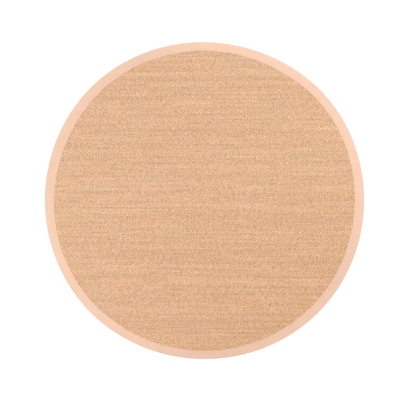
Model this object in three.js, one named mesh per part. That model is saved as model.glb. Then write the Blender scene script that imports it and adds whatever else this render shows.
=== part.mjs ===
// A round rug of woven sisal, its cut edge bound with a folded cotton tape, lying flat on a floor.
// Millimetres, +Z up. The origin is on the floor, under the middle of the rug's bounding box.
// The sisal's yarns run along X. Angles around the rim are in degrees, anticlockwise from +X.
import * as THREE from 'three';

// Driving dimensions
const RUG_RADIUS = 801; // round that the rim is cut to, before its flats and swellings
const BINDING_FACE = 44.5; // width of tape that shows on the top face
const BOUND_HEIGHT = 7.0; // over the binding, floor to top
const MAT_HEIGHT = 6.4; // over the open sisal, floor to top
const TAPE_THICKNESS = 1.2;
const RIM_ROLL = 3.2; // how far in from the rim the tape starts to curve round the edge
const TAPE_EASING = 0.4; // softening of the tape's two long edges
const PRESSED_SLOPE = 5.0; // width over which the sisal is pressed down towards the tape
const FIT_GAP = 0.3; // between the tape and the sisal that it holds

// Fineness of the round
const STEPS_AROUND = 120;
const STEPS_OVER_ROLL = 6;

// Where a hand-cut rim runs out (+) or in (-), and where the tape shows wider (+) or narrower (-).
// Each row is a soft swelling centred at one angle, which fades out to nothing at its reach.
const RIM_RUNOUT = [
  { at: 36, reach: 36, depth: 3.0 },
  { at: 80, reach: 50, depth: -8.0 },
  { at: 140, reach: 30, depth: 3.0 },
  { at: 222, reach: 24, depth: 1.5 },
  { at: 268, reach: 50, depth: -5.0 },
  { at: 325, reach: 30, depth: 1.0 },
];
const FACE_RUNOUT = [
  { at: 57, reach: 15, depth: 1.5 },
  { at: 85, reach: 25, depth: -2.0 },
  { at: 150, reach: 45, depth: 6.0 },
  { at: 215, reach: 40, depth: -3.0 },
  { at: 268, reach: 45, depth: -4.0 },
  { at: 350, reach: 35, depth: 2.5 },
];

// Worked out from the driving dimensions
const SEAM_RADIUS = RUG_RADIUS - BINDING_FACE;
const PRESSED_BOTTOM = TAPE_THICKNESS + FIT_GAP;
const PRESSED_TOP = BOUND_HEIGHT - TAPE_THICKNESS - FIT_GAP;
const MAT_RADIUS = RUG_RADIUS - TAPE_THICKNESS - FIT_GAP;
const MAT_ROLL = RIM_ROLL - TAPE_THICKNESS - FIT_GAP;

const point = (radius, height) => new THREE.Vector2(radius, height);

// Half an ellipse round an edge, from its low end to its high end, as profile points.
function rollPoints(outerRadius, depth, lowHeight, highHeight) {
  const centre = point(outerRadius - depth, (lowHeight + highHeight) / 2);
  const halfHeight = (highHeight - lowHeight) / 2;
  return Array.from({ length: STEPS_OVER_ROLL + 1 }, (_, step) => {
    const turn = (step / STEPS_OVER_ROLL - 0.5) * Math.PI;
    return point(centre.x + depth * Math.cos(turn), centre.y + halfHeight * Math.sin(turn));
  });
}

// Sum of the soft swellings of one table at an angle in degrees.
function runout(table, angle) {
  return table.reduce((sum, { at, reach, depth }) => {
    const away = Math.abs(THREE.MathUtils.euclideanModulo(angle - at + 180, 360) - 180);
    return away < reach ? sum + (depth / 2) * (1 + Math.cos((Math.PI * away) / reach)) : sum;
  }, 0);
}

// How far a point of the round rug moves outwards: nothing at the middle, the seam's runout at the
// seam and the rim's at the rim.
function outwardShift(radius, angle) {
  const atRim = runout(RIM_RUNOUT, angle);
  const atSeam = atRim - runout(FACE_RUNOUT, angle);
  if (radius <= SEAM_RADIUS) return (atSeam * radius) / SEAM_RADIUS;
  return THREE.MathUtils.mapLinear(radius, SEAM_RADIUS, RUG_RADIUS, atSeam, atRim);
}

// Turns a profile about +Z, then gives the round its uneven, hand-cut outline.
function uneven(profile) {
  const geometry = new THREE.LatheGeometry(profile, STEPS_AROUND).rotateX(Math.PI / 2);
  const position = geometry.getAttribute('position');
  for (let i = 0; i < position.count; i += 1) {
    const across = point(position.getX(i), position.getY(i));
    const radius = across.length();
    if (radius > 0) {
      const angle = THREE.MathUtils.radToDeg(across.angle());
      across.setLength(radius + outwardShift(radius, angle));
      position.setXY(i, across.x, across.y);
    }
  }
  return geometry;
}

// The sisal: a flat disc, pressed thinner where the tape grips it, with a rounded cut edge.
function sisalMat() {
  const gripStart = SEAM_RADIUS - FIT_GAP;
  const slopeStart = gripStart - PRESSED_SLOPE;
  return uneven([
    point(0, 0),
    point(slopeStart, 0),
    point(gripStart, PRESSED_BOTTOM),
    ...rollPoints(MAT_RADIUS, MAT_ROLL, PRESSED_BOTTOM, PRESSED_TOP),
    point(gripStart, PRESSED_TOP),
    point(slopeStart, MAT_HEIGHT),
    point(0, MAT_HEIGHT),
  ]);
}

// The tape: a U laid on its side, open towards the middle, its two leaves alike above and below.
function cottonBinding() {
  const innerRollDepth = RIM_ROLL - TAPE_THICKNESS;
  const easedSeam = SEAM_RADIUS + TAPE_EASING;
  const lowLeafTop = TAPE_THICKNESS;
  const highLeafBottom = BOUND_HEIGHT - TAPE_THICKNESS;
  const outside = rollPoints(RUG_RADIUS, RIM_ROLL, 0, BOUND_HEIGHT);
  const inside = rollPoints(RUG_RADIUS - TAPE_THICKNESS, innerRollDepth, lowLeafTop, highLeafBottom);
  const start = point(easedSeam, 0);
  return uneven([
    start,
    ...outside,
    point(easedSeam, BOUND_HEIGHT),
    point(SEAM_RADIUS, BOUND_HEIGHT - TAPE_EASING),
    point(SEAM_RADIUS, highLeafBottom),
    ...inside.reverse(),
    point(SEAM_RADIUS, lowLeafTop),
    point(SEAM_RADIUS, TAPE_EASING),
    start.clone(),
  ]);
}

function named(name, geometry, material) {
  const mesh = new THREE.Mesh(geometry, material);
  mesh.name = name;
  return mesh;
}

const sisalCloth = new THREE.MeshStandardMaterial({ color: '#e2b591', roughness: 0.95, metalness: 0 });
const cottonTape = new THREE.MeshStandardMaterial({ color: '#f5ccb1', roughness: 0.9, metalness: 0 });

const rug = new THREE.Group();
rug.add(named('sisal_mat', sisalMat(), sisalCloth));
rug.add(named('cotton_binding', cottonBinding(), cottonTape));

// The flats and swellings leave the outline a little to one side: the origin goes under its middle.
const outline = new THREE.Box3().setFromObject(rug, true);
const middle = outline.getCenter(new THREE.Vector3());
rug.position.set(-middle.x, -middle.y, 0);

export default rug;
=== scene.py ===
"""Dresses a round sisal rug with a sewn cotton binding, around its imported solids.

Metres, +Z up. The weft yarns run along X, the origin is on the floor under the rug's middle, and
angles around the rim run anticlockwise from +X.
"""

from __future__ import annotations

import logging
import math
from collections.abc import Iterator
from contextlib import contextmanager
from dataclasses import astuple, dataclass, replace
from enum import Enum

import bpy
import numpy as np
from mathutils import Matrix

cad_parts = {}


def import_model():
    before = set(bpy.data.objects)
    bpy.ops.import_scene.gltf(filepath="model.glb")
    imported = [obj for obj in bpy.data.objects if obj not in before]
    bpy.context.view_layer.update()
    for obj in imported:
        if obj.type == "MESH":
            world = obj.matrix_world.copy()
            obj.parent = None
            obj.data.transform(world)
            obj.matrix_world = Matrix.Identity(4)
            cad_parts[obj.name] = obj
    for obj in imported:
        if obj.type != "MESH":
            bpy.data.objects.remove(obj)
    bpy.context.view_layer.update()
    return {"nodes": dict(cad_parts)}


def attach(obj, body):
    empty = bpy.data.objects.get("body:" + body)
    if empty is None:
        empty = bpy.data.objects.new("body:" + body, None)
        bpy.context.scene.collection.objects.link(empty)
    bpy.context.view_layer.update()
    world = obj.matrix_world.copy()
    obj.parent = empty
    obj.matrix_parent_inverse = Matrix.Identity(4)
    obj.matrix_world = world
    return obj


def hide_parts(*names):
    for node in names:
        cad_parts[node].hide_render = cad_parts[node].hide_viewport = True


LOG = logging.getLogger("sisal_rug")
BODY = "root"
MM = 0.001
TOUCHING = 0.01 * MM  # closer points than this are one
CLOTH_SHARE = 0.997  # the cloth's part of the rug's area, as its edge lies inside the tape's fold


class Leaf(Enum):
    """The two faces of the folded tape, by the face of the rug that they lie on."""

    TOP = "top"
    UNDERSIDE = "underside"


def select_only(piece: bpy.types.Object) -> None:
    """Deselects everything, then selects one object and makes it the active one.

    Args:
        piece: The object that the next operators act on.
    """
    bpy.ops.object.select_all(action="DESELECT")
    piece.select_set(True)
    bpy.context.view_layer.objects.active = piece


@contextmanager
def editing(piece: bpy.types.Object, select: str = "SELECT") -> Iterator[None]:
    """Opens an object in edit mode, with all of it or none of it selected.

    Args:
        piece: The object to edit.
        select: SELECT or DESELECT, the selection to start with.
    """
    select_only(piece)
    bpy.ops.object.mode_set(mode="EDIT")
    bpy.ops.mesh.select_all(action=select)
    yield
    bpy.ops.object.mode_set(mode="OBJECT")


def read_points(mesh: bpy.types.Mesh) -> np.ndarray:
    """Reads a mesh's vertices.

    Args:
        mesh: The mesh to read.

    Returns:
        One row of X, Y and Z for each vertex.
    """
    points = np.empty(len(mesh.vertices) * 3)
    mesh.vertices.foreach_get("co", points)
    return points.reshape(-1, 3)


def write_points(mesh: bpy.types.Mesh, points: np.ndarray) -> None:
    """Moves a mesh's vertices.

    Args:
        mesh: The mesh to change.
        points: One row of X, Y and Z for each vertex.
    """
    mesh.vertices.foreach_set("co", points.ravel())
    mesh.update()


def write_attribute(
    mesh: bpy.types.Mesh, name: str, kind: str, domain: str, values: np.ndarray
) -> None:
    """Adds a named value for each point, edge or face of a mesh.

    Args:
        mesh: The mesh that gets the attribute.
        name: The attribute's name.
        kind: FLOAT, INT or BOOLEAN.
        domain: POINT, EDGE or FACE.
        values: One value for each element of the domain.
    """
    attribute = mesh.attributes.get(name) or mesh.attributes.new(name, kind, domain)
    attribute.data.foreach_set("value", values)


def read_attribute(mesh: bpy.types.Mesh, name: str) -> np.ndarray:
    """Reads a named value for each element of a mesh.

    Args:
        mesh: The mesh that holds the attribute.
        name: The attribute's name.

    Returns:
        One value for each element.
    """
    data = mesh.attributes[name].data
    values = np.empty(len(data))
    data.foreach_get("value", values)
    return values


def loop_corners(mesh: bpy.types.Mesh) -> np.ndarray:
    """Reads which vertex each face corner of a mesh stands on.

    Args:
        mesh: The mesh to read.

    Returns:
        One vertex index for each face corner.
    """
    corners = np.empty(len(mesh.loops), int)
    mesh.loops.foreach_get("vertex_index", corners)
    return corners


def write_uv(mesh: bpy.types.Mesh, name: str, places: np.ndarray) -> None:
    """Adds a UV map.

    Args:
        mesh: The mesh that gets the map.
        name: The map's name.
        places: One row of U and V for each face corner.
    """
    layer = mesh.uv_layers.get(name) or mesh.uv_layers.new(name=name)
    layer.uv.foreach_set("vector", places.astype(np.float32).ravel())


def polar(points: np.ndarray) -> tuple[np.ndarray, np.ndarray]:
    """Works out how far some points lie from the axis, and at which angles.

    Args:
        points: One row of X, Y and Z for each point.

    Returns:
        Their radii, and their angles in radians.
    """
    return np.hypot(points[:, 0], points[:, 1]), np.arctan2(points[:, 1], points[:, 0])


@dataclass
class BakeMap:
    """A piece's flat layout for the exporter, on which no face lies over another.

    Attributes:
        mesh: The finished mesh.
        margin: Room left round each box of the layout, as a part of the box.
    """

    mesh: bpy.types.Mesh
    margin: float = 0.01

    def __post_init__(self) -> None:
        """Reads each face corner's face, vertex and place."""
        counts = np.empty(len(self.mesh.polygons), int)
        self.mesh.polygons.foreach_get("loop_total", counts)
        self.face = np.repeat(np.arange(len(counts)), counts)
        self.vertex = loop_corners(self.mesh)
        self.point = read_points(self.mesh)[self.vertex]
        self.layout = np.zeros((len(self.face), 2))

    def mean(self, values: np.ndarray) -> np.ndarray:
        """Averages values over each face.

        Args:
            values: One value for each face corner.

        Returns:
            Its face's mean for each face corner.
        """
        return (np.bincount(self.face, values) / np.bincount(self.face))[self.face]

    def lay(self, chosen: np.ndarray, across: np.ndarray, up: np.ndarray, box: tuple) -> None:
        """Lays some faces out in one box of the layout.

        Args:
            chosen: Whether each corner's face is one of them.
            across: Each corner's place from left to right, in any unit.
            up: Its place from bottom to top.
            box: The box's left, bottom, width and height, as parts of the layout.
        """
        for axis, values in enumerate((across[chosen], up[chosen])):
            share = (values - values.min()) / np.ptp(values)
            inner = self.margin + (1 - 2 * self.margin) * share
            self.layout[chosen, axis] = box[axis] + box[axis + 2] * inner

    def lay_strips(
        self, chosen: np.ndarray, along: np.ndarray, up: np.ndarray, count: int, height: float
    ) -> None:
        """Cuts a long row of faces into strips of one length, and stacks them from the bottom.

        Args:
            chosen: Whether each corner's face is in the row.
            along: Each corner's place along the row, in any unit.
            up: Its place across the row.
            count: Number of strips.
            height: Height of the stack, as a part of the layout.
        """
        middle = self.mean(along)
        start, length = middle[chosen].min(), np.ptp(middle[chosen])
        strip = np.clip(np.floor((middle - start) / length * count), 0, count - 1)
        for number in range(count):
            box = (0, number * height / count, 1, height / count)
            self.lay(chosen & (strip == number), along, up, box)

    def write(self) -> None:
        """Writes the layout as the UV map that the exporter looks for."""
        write_uv(self.mesh, "OFBake", self.layout)


@dataclass(frozen=True)
class Outline:
    """The rug's hand-cut round: how far out its rim and its seam lie at each angle.

    Attributes:
        angles: Angles around the rim, in radians, rising.
        rim: Radius of the rug's edge at each angle.
        seam: Radius of the tape's inner edge at each angle.
    """

    angles: np.ndarray
    rim: np.ndarray
    seam: np.ndarray

    SOLID_STEP = 3  # degrees from one section of the tape's solid to the next

    @classmethod
    def from_tape(cls, tape: bpy.types.Object, fuller: float = 1.05 * MM) -> Outline:
        """Reads the round from the tape's solid.

        Args:
            tape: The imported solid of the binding.
            fuller: How much further in the tape's soft inner edge lies than the solid's.

        Returns:
            The outline, with one entry for each step of the solid around the rim.
        """
        radius, angle = polar(read_points(tape.data))
        degrees = np.degrees(angle)
        count = 360 // cls.SOLID_STEP
        sector = np.round(degrees / cls.SOLID_STEP).astype(int) % count
        members = [sector == number for number in range(count)]
        rising = [degrees[members[0]], *(degrees[member] % 360 for member in members[1:])]
        angles = np.array([np.median(around) for around in rising])
        rim = np.array([radius[member].max() for member in members])
        seam = np.array([radius[member].min() for member in members]) - fuller
        return cls(np.radians(angles), rim, seam)

    def rim_at(self, angle: np.ndarray) -> np.ndarray:
        """Returns the rug's radius at some angles in radians."""
        return np.interp(angle, self.angles, self.rim, period=math.tau)

    def seam_at(self, angle: np.ndarray) -> np.ndarray:
        """Returns the radius of the tape's inner edge at some angles in radians."""
        return np.interp(angle, self.angles, self.seam, period=math.tau)

    @property
    def area(self) -> float:
        """The rug's flat area in square metres."""
        angle = np.linspace(0, math.tau, 3600, endpoint=False)
        return float((self.rim_at(angle) ** 2).mean() * math.pi)


@dataclass(frozen=True)
class Waves:
    """A soft random line around the rim: a few sine waves of chosen lengths, with seeded phases.

    Attributes:
        height: Half the line's usual swing.
        shortest: Length of the shortest wave along the rim, in metres.
        longest: Length of the longest wave.
        count: Number of waves.
        seed: Seed of the phases and lengths.
    """

    height: float
    shortest: float
    longest: float
    count: int
    seed: int

    def at(self, angle: np.ndarray, radius: float) -> np.ndarray:
        """Works out the line's height around a round.

        Args:
            angle: The angles to work it out at, in radians.
            radius: The round's radius.

        Returns:
            The height at each angle.
        """
        random = np.random.default_rng(self.seed)
        lengths = random.uniform(self.shortest, self.longest, self.count)
        turns = np.round(math.tau * radius / lengths)
        phases = random.uniform(0, math.tau, self.count)
        waves = np.sin(np.outer(angle, turns) + phases)
        return self.height * waves.sum(axis=1) * math.sqrt(2 / self.count)


@dataclass(frozen=True)
class Swell:
    """A soft rise or fall around the rim, which fades out to nothing at its reach.

    Attributes:
        at: Angle of its middle, in degrees.
        reach: How far it reaches to either side, in degrees.
        depth: Its height in the middle.
    """

    at: float
    reach: float
    depth: float

    def over(self, angle: np.ndarray) -> np.ndarray:
        """Works out its height around the rim.

        Args:
            angle: The angles to work it out at, in radians.

        Returns:
            The height at each angle.
        """
        away = np.abs((np.degrees(angle) - self.at + 180) % 360 - 180)
        height = self.depth / 2 * (1 + np.cos(math.pi * away / self.reach))
        return np.where(away < self.reach, height, 0)


@dataclass(frozen=True)
class PaintedLightDrift:
    """Painted light and shade: a slow change in colour over the whole cloth, lighter to some sides and
    darker to others, which averages to nothing.

    Attributes:
        aside: Rise from the middle to the rim along +X.
        ahead: Rise along +Y.
        ends: Rise towards both ends of the X axis.
        quarters: Rise towards the rim halfway between +X and +Y and on the opposite side, and an
            equal fall towards the other two quarters.
        radius: The round over which these are reached.
    """

    aside: float
    ahead: float
    ends: float
    quarters: float
    radius: float = 0.735

    MEAN_SQUARE = 0.25  # mean of the square of X over a round of radius 1

    def at(self, x: np.ndarray, y: np.ndarray) -> np.ndarray:
        """Works the change out at some places.

        Args:
            x: The places' X.
            y: Their Y.

        Returns:
            The change at each place.
        """
        x, y = x / self.radius, y / self.radius
        slope = self.aside * x + self.ahead * y
        return slope + self.ends * (x * x - self.MEAN_SQUARE) + 2 * self.quarters * x * y


@dataclass(frozen=True)
class SectionPoint:
    """One corner of a section that is spun about +Z and then fitted to the outline.

    Attributes:
        reach: How far it lies from the axis, 0, towards the seam, 1.
        share: How far it lies from the seam, 0, towards the rim, 1.
        inset: How much further out it lies than that, in metres.
        height: Its height over the floor.
    """

    reach: float
    share: float
    inset: float
    height: float


def rolled_edge(
    inset: float, depth: float, low: float, high: float, steps: int
) -> list[SectionPoint]:
    """Lays section points over a rounded edge at the rim, from its low end to its high end.

    Args:
        inset: How far inside the rim the edge's outermost point lies.
        depth: How far in from there the edge starts to curve.
        low: Height of its low end.
        high: Height of its high end.
        steps: Number of steps over the curve.

    Returns:
        The points of half an ellipse.
    """
    turns = (np.arange(steps + 1) / steps - 0.5) * math.pi
    outwards = -inset - depth + depth * np.cos(turns)
    heights = (low + high) / 2 + (high - low) / 2 * np.sin(turns)
    return [SectionPoint(1, 1, out, height) for out, height in zip(outwards, heights, strict=True)]


def spun(
    name: str, section: list[SectionPoint], steps: int, outline: Outline, closed: bool
) -> bpy.types.Object:
    """Spins a section about +Z and fits it to the rug's outline.

    Args:
        name: The new object's name.
        section: The section's points. A closed one runs round the tape, an open one from axis to axis.
        steps: Number of steps around.
        outline: The outline that it follows.
        closed: Whether the last point joins the first.

    Returns:
        The closed piece, smooth, with its section's station for each vertex in an attribute.
    """
    bpy.ops.object.select_all(action="DESELECT")
    bpy.ops.mesh.primitive_circle_add(
        vertices=len(section), radius=1, fill_type="NOTHING", calc_uvs=False
    )
    piece = bpy.context.object
    piece.name = piece.data.name = name
    mesh = piece.data
    mean_seam = float(outline.seam.mean())
    mean_face = float((outline.rim - outline.seam).mean())
    reach, share, inset, height = np.array([astuple(point) for point in section], float).T
    radius = reach * mean_seam + share * mean_face + inset
    write_points(mesh, np.column_stack([radius, np.zeros(len(section)), height]))
    for field, values in (("reach", reach), ("share", share), ("inset", inset)):
        write_attribute(mesh, field, "FLOAT", "POINT", values)
    write_attribute(mesh, "station", "FLOAT", "POINT", np.arange(len(section), dtype=float))
    if not closed:
        with editing(piece, "DESELECT"):
            bpy.ops.mesh.select_mode(type="EDGE")
            bpy.ops.object.mode_set(mode="OBJECT")
            ends = {0, len(section) - 1}
            for edge in mesh.edges:
                edge.select = set(edge.vertices) == ends
            bpy.ops.object.mode_set(mode="EDIT")
            bpy.ops.mesh.delete(type="EDGE")
            bpy.ops.mesh.select_mode(type="VERT")
    with editing(piece):
        bpy.ops.mesh.spin(steps=steps, angle=math.tau, center=(0, 0, 0), axis=(0, 0, 1))
        bpy.ops.mesh.select_all(action="SELECT")
        bpy.ops.mesh.remove_doubles(threshold=TOUCHING)
        bpy.ops.mesh.normals_make_consistent(inside=False)
    points = read_points(mesh)
    _, angle = polar(points)
    reach, share, inset = (read_attribute(mesh, field) for field in ("reach", "share", "inset"))
    seam = outline.seam_at(angle)
    fitted = reach * seam + share * (outline.rim_at(angle) - seam) + inset
    points[:, 0] = fitted * np.cos(angle)
    points[:, 1] = fitted * np.sin(angle)
    write_points(mesh, points)
    select_only(piece)
    bpy.ops.object.shade_smooth()
    return piece


@dataclass(frozen=True)
class Surface:
    """How a finish takes the light.

    Attributes:
        roughness: Its roughness, from 0 to 1.
        specular: How strongly it reflects, 0.5 as most things do.
        sheen: How much light its loose fibres catch at a grazing angle.
        relief: Height of its fine relief, in metres.
        strength: How much of that relief shows.
    """

    roughness: float
    specular: float
    sheen: float
    relief: float
    strength: float


class Finish:
    """A material's node tree, with short calls for the nodes that the rug's finishes are made of."""

    def __init__(self, name: str) -> None:
        """Starts a material with one Principled shader.

        Args:
            name: The material's name.
        """
        self.material = bpy.data.materials.new(name)
        self.material.use_nodes = True
        self.tree = self.material.node_tree
        self.shader = self.tree.nodes["Principled BSDF"]

    def node(self, kind: str, **settings: object) -> bpy.types.Node:
        """Adds a node.

        Args:
            kind: The node's Blender type, without its ShaderNode prefix.
            settings: Properties of the node, and values of its inputs by name with _ for spaces.

        Returns:
            The new node.
        """
        made = self.tree.nodes.new("ShaderNode" + kind)
        for key, value in settings.items():
            if hasattr(made, key):
                setattr(made, key, value)
            else:
                made.inputs[key.replace("_", " ")].default_value = value
        return made

    def link(self, source: bpy.types.NodeSocket, target: bpy.types.NodeSocket) -> None:
        """Links one socket to another."""
        self.tree.links.new(source, target)

    def attribute(self, name: str) -> bpy.types.NodeSocket:
        """Reads one of the piece's own attributes, by its name."""
        return self.node("Attribute", attribute_name=name).outputs["Fac"]

    def maths(self, operation: str, *terms: bpy.types.NodeSocket | float) -> bpy.types.NodeSocket:
        """Works out one operation on sockets and numbers.

        Args:
            operation: The Math node's operation.
            terms: Its inputs in order.

        Returns:
            The result's socket.
        """
        made = self.node("Math", operation=operation)
        for socket, term in zip(made.inputs, terms, strict=False):
            if isinstance(term, bpy.types.NodeSocket):
                self.link(term, socket)
            else:
                socket.default_value = term
        return made.outputs["Value"]

    def placed(
        self, coordinates: bpy.types.NodeSocket, scale: tuple, turn: float
    ) -> bpy.types.NodeSocket:
        """Turns a pattern about Z, then stretches it.

        Args:
            coordinates: The coordinates that the pattern would read.
            scale: Scale along X, Y and Z once it is turned.
            turn: The angle in radians.

        Returns:
            The new coordinates.
        """
        turned = self.node("Mapping", vector_type="POINT")
        turned.inputs["Rotation"].default_value = (0, 0, turn)
        self.link(coordinates, turned.inputs["Vector"])
        stretched = self.node("Mapping", vector_type="POINT")
        stretched.inputs["Scale"].default_value = scale
        self.link(turned.outputs["Vector"], stretched.inputs["Vector"])
        return stretched.outputs["Vector"]

    def noise(
        self, coordinates: bpy.types.NodeSocket, scale: float, detail: float, roughness: float
    ) -> bpy.types.NodeSocket:
        """Adds soft noise.

        Args:
            coordinates: The coordinates that it reads.
            scale: Blobs for each metre, where the coordinates are metres.
            detail: Octaves.
            roughness: How strong the finer octaves are.

        Returns:
            The noise's value, from 0 to 1.
        """
        made = self.node("TexNoise", Scale=scale, Detail=detail, Roughness=roughness)
        self.link(coordinates, made.inputs["Vector"])
        return made.outputs["Fac"]

    def between(
        self, value: bpy.types.NodeSocket, source: tuple[float, float], target: tuple[float, float]
    ) -> bpy.types.NodeSocket:
        """Maps a value from one range to another, without clamping it.

        Args:
            value: The value.
            source: The two ends of its own range.
            target: What they become.

        Returns:
            The mapped value's socket.
        """
        made = self.node("MapRange", clamp=False)
        self.link(value, made.inputs["Value"])
        names = ("From Min", "From Max", "To Min", "To Max")
        for name, number in zip(names, (*source, *target), strict=True):
            made.inputs[name].default_value = number
        return made.outputs["Result"]

    def ramp(
        self, value: bpy.types.NodeSocket, stops: list[tuple[float, tuple]]
    ) -> bpy.types.NodeSocket:
        """Turns a value into a colour.

        Args:
            value: The value, from 0 to 1.
            stops: Places on the ramp, each with its linear red, green and blue.

        Returns:
            The colour's socket.
        """
        made = self.node("ValToRGB")
        elements = made.color_ramp.elements
        while len(elements) < len(stops):
            elements.new(0.5)
        for element, (place, colour) in zip(elements, stops, strict=True):
            element.position = place
            element.color = (*colour, 1)
        self.link(value, made.inputs["Fac"])
        return made.outputs["Color"]

    def scaled(
        self, colour: bpy.types.NodeSocket, factor: bpy.types.NodeSocket
    ) -> bpy.types.NodeSocket:
        """Makes a colour lighter or darker.

        Args:
            colour: The colour.
            factor: What it is multiplied by.

        Returns:
            The new colour's socket.
        """
        made = self.node("VectorMath", operation="SCALE")
        self.link(colour, made.inputs["Vector"])
        self.link(factor, made.inputs["Scale"])
        return made.outputs["Vector"]

    def tinted(
        self, colour: bpy.types.NodeSocket, tint: bpy.types.NodeSocket
    ) -> bpy.types.NodeSocket:
        """Multiplies a colour by a tint.

        Args:
            colour: The colour.
            tint: Another colour, whose channels are its factors.

        Returns:
            The new colour's socket.
        """
        made = self.node("VectorMath", operation="MULTIPLY")
        self.link(colour, made.inputs[0])
        self.link(tint, made.inputs[1])
        return made.outputs["Vector"]

    def surface(self, height: bpy.types.NodeSocket, look: Surface) -> None:
        """Sets how the shader takes the light, and gives it its fine relief.

        Args:
            height: The relief's height, from 0 to 1.
            look: How matte the surface is, and how deep its relief.
        """
        self.shader.inputs["Roughness"].default_value = look.roughness
        self.shader.inputs["Specular IOR Level"].default_value = look.specular
        self.shader.inputs["Sheen Weight"].default_value = look.sheen
        made = self.node("Bump", Strength=look.strength, Distance=look.relief)
        self.link(height, made.inputs["Height"])
        self.link(made.outputs["Normal"], self.shader.inputs["Normal"])


@dataclass(frozen=True)
class SisalFinish:
    """Dry golden sisal yarn: slanting fibres, each yarn and float a little lighter or darker, with painted
    shade where it dips and in its gaps.

    Attributes:
        deep: Linear colour of the painted shade in the gaps between fibres and yarns.
        straw: Linear colour of most fibres.
        pale: Linear colour of the lightest fibres.
        twist: Slant of the fibres to the yarn, in radians.
        strand: Length and width of the strands that a yarn is twisted from.
        fibre: Length and width of its single fibres.
        level: How light a yarn's crown is, from 0, deep, to 1, pale.
        tone_swing: How much lighter or darker the yarns' tones, with their drift of painted light and
            shade, make it.
        painted_dip_shade: How much darker painted shade makes a yarn where it dips under its neighbours.
        contrast: How much the fibres and strands stand out.
        ruddiness: How far the red of a length of yarn strays from its neighbours', as a factor.
        ruddy_patch: Length and width of the lengths of yarn that are ruddier.
        gold: How far its blue strays.
        golden_patch: Length and width of the lengths of yarn that are more golden.
        straw_at: Where straw lies between deep, 0, and pale, 1.
        strand_share: The strands' part of the relief, the rest being the single fibres'.
        crown_roughness: Roughness of the highest fibres, which are rubbed smoother than the rest.
        look: How the yarn takes the light.
    """

    deep: tuple = (0.350, 0.140, 0.049)
    straw: tuple = (0.766, 0.516, 0.3335)
    pale: tuple = (0.888, 0.632, 0.444)
    twist: float = math.radians(-24)
    strand: tuple = (11 * MM, 0.9 * MM)
    fibre: tuple = (7 * MM, 0.22 * MM)
    level: float = 0.607
    tone_swing: float = 0.044
    painted_dip_shade: float = 0.46
    contrast: float = 0.8
    ruddiness: float = 0.055
    ruddy_patch: tuple = (220 * MM, 66 * MM)
    gold: float = 0.085
    golden_patch: tuple = (90 * MM, 66 * MM)
    straw_at: float = 0.6
    strand_share: float = 0.45
    crown_roughness: float = 0.78
    look: Surface = Surface(0.95, 0.25, 0.05, 0.5 * MM, 0.8)

    @property
    def stops(self) -> list[tuple[float, tuple]]:
        """The yarn's colours from the deepest gap to the lightest fibre."""
        return [(0.0, self.deep), (self.straw_at, self.straw), (1.0, self.pale)]

    def fibre_relief(
        self, finish: Finish, coordinates: bpy.types.NodeSocket, slant: float
    ) -> bpy.types.NodeSocket:
        """Lays strands and single fibres slantwise over a yarn.

        Args:
            finish: The material that they are made in.
            coordinates: Their coordinates, in metres, with the yarn along X.
            slant: Their slant to the yarn, in radians.

        Returns:
            Their height, from 0 to 1 and mostly about 0.5.
        """
        strand, fibre = (
            finish.noise(
                finish.placed(coordinates, (1 / length, 1 / width, 1), slant),
                scale=1.0, detail=2.0, roughness=0.55,
            )
            for length, width in (self.strand, self.fibre)
        )
        single = finish.maths("MULTIPLY", fibre, 1 - self.strand_share)
        return finish.maths("MULTIPLY_ADD", strand, self.strand_share, single)

    def build(self) -> bpy.types.Material:
        """Builds the weft yarns' material.

        Returns:
            The material, which reads the yarns' own UV map, tones and depths.
        """
        finish = Finish("sisal_weave")
        along = finish.node("UVMap", uv_map="yarn").outputs["UV"]
        relief = self.fibre_relief(finish, along, self.twist)
        # Painted shade: the depth attribute darkens each yarn where it dips under its neighbours.
        value = finish.maths("MULTIPLY_ADD", finish.attribute("depth"), -self.painted_dip_shade, self.level)
        # The yarns' tones carry the drift of painted light and shade over the whole cloth.
        value = finish.maths("MULTIPLY_ADD", finish.attribute("yarn_tone_and_painted_light"), self.tone_swing, value)
        fibres = finish.maths("MULTIPLY", finish.maths("SUBTRACT", relief, 0.5), self.contrast)
        colour = finish.ramp(finish.maths("ADD", value, fibres), self.stops)
        tint = finish.node("CombineColor", Green=1.0)
        # Patches of redder and more golden yarn, each times the drift of the painted light and shade in
        # red or blue over the whole cloth.
        for (length, width), swing, turn, drift, channel in (
            (self.ruddy_patch, self.ruddiness, 0.0, "ruddy", "Red"),
            (self.golden_patch, self.gold, math.pi, "golden", "Blue"),
        ):
            place = finish.placed(along, (1 / length, 1 / width, 1), turn)
            patches = finish.noise(place, scale=1.0, detail=5.0, roughness=0.7)
            strayed = finish.between(patches, (0.25, 0.75), (1 - swing, 1 + swing))
            strayed = finish.maths("MULTIPLY", strayed, finish.attribute(drift))
            finish.link(strayed, tint.inputs[channel])
        finish.link(finish.tinted(colour, tint.outputs["Color"]), finish.shader.inputs["Base Color"])
        finish.surface(relief, self.look)
        roughness = finish.between(relief, (0.3, 0.7), (self.look.roughness, self.crown_roughness))
        finish.link(roughness, finish.shader.inputs["Roughness"])
        return finish.material


@dataclass(frozen=True)
class Weave:
    """The repeat of the sisal's plain weave.

    Attributes:
        row_pitch: Distance from yarn to yarn.
        warp_pitch: Distance from warp to warp, so a yarn comes up at every second one.
        wander: How far the line between two yarns swings aside round a float.
    """

    row_pitch: float = 5.682 * MM
    warp_pitch: float = 6.558 * MM
    wander: float = 0.76 * MM


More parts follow.
